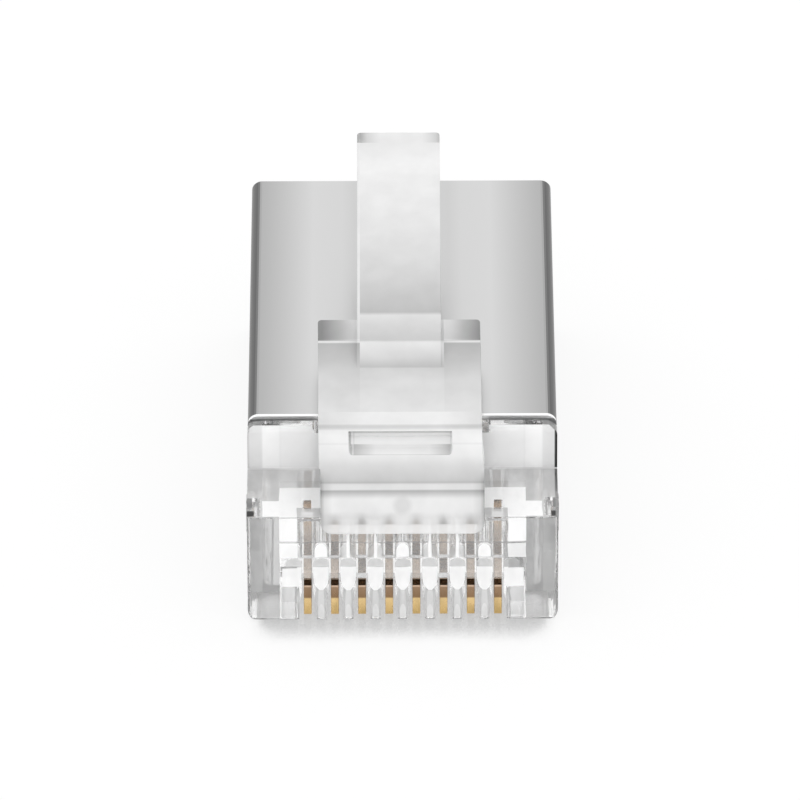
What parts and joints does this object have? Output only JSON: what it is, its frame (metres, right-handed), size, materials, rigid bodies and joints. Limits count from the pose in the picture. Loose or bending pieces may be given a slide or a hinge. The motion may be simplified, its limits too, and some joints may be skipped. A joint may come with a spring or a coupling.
{
  "type": "rj45 modular plug",
  "caption": "Shielded modular plug for network cable: clear moulded body with a sprung latch, gold-plated blades in a staggered layout and a plain folded metal shield.",
  "frame": {"origin": "on the plane that the contact side rests on, below the middle of the whole plug's box", "axes": "+Z from the contact side to the latch side, -Y the way the nose goes into a jack, +X across the contacts"},
  "size_m": [0.0118, 0.0216, 0.0109],
  "materials": {
    "clear_plastic": "clear glossy polycarbonate",
    "nickel_plate": "smooth satin nickel plate",
    "gold_plate": "polished gold plate"
  },
  "bodies": {
    "plug": {"housing": "clear_plastic", "shield": "nickel_plate", "contact_1": "gold_plate", "contact_2": "gold_plate", "contact_3": "gold_plate", "contact_4": "gold_plate", "contact_5": "gold_plate", "contact_6": "gold_plate", "contact_7": "gold_plate", "contact_8": "gold_plate"},
    "latch": {"latch": "clear_plastic"}
  },
  "joints": [
    {"name": "latch_press", "type": "hinge", "parent": "plug", "child": "latch", "pos_m": [0, -0.00982, 0.00615], "axis": [-1, 0, 0], "range_deg": [0, 4.4], "stiffness_Nm_per_rad": 0.05}
  ]
}
